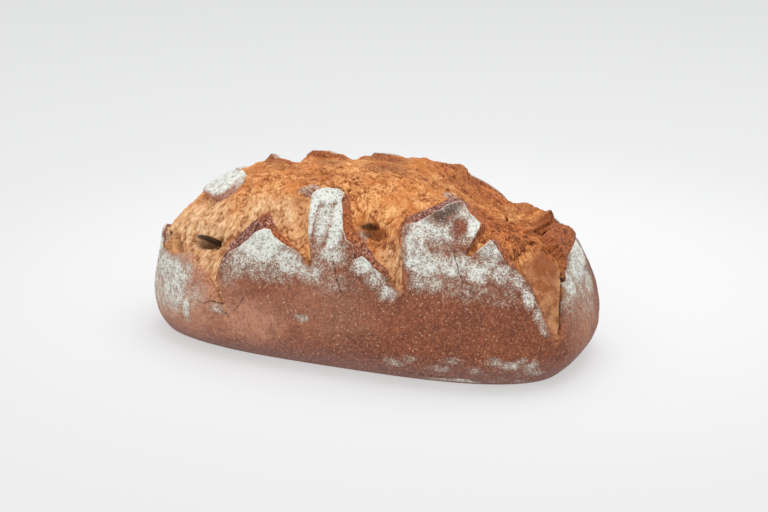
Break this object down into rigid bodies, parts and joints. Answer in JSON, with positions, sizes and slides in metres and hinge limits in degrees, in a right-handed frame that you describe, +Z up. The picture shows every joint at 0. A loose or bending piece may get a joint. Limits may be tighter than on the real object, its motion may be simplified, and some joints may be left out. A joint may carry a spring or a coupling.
{
  "type": "rye bread loaf",
  "caption": "Long free-standing rye bread loaf with a floured crust torn open along the top, showing ragged crumb; it rests on a flat base.",
  "frame": {"origin": "middle of the flat base, under the middle of the loaf's box", "axes": "+Z up, +X along the loaf towards its right end in the picture, +Y towards the side away from the camera"},
  "size_m": [0.2806, 0.1483, 0.117],
  "materials": {
    "crust": "dull baked red-brown rye crust, dusted with pale flour near the torn edges"
  },
  "bodies": {
    "root": {"loaf": "crust"}
  },
  "joints": []
}
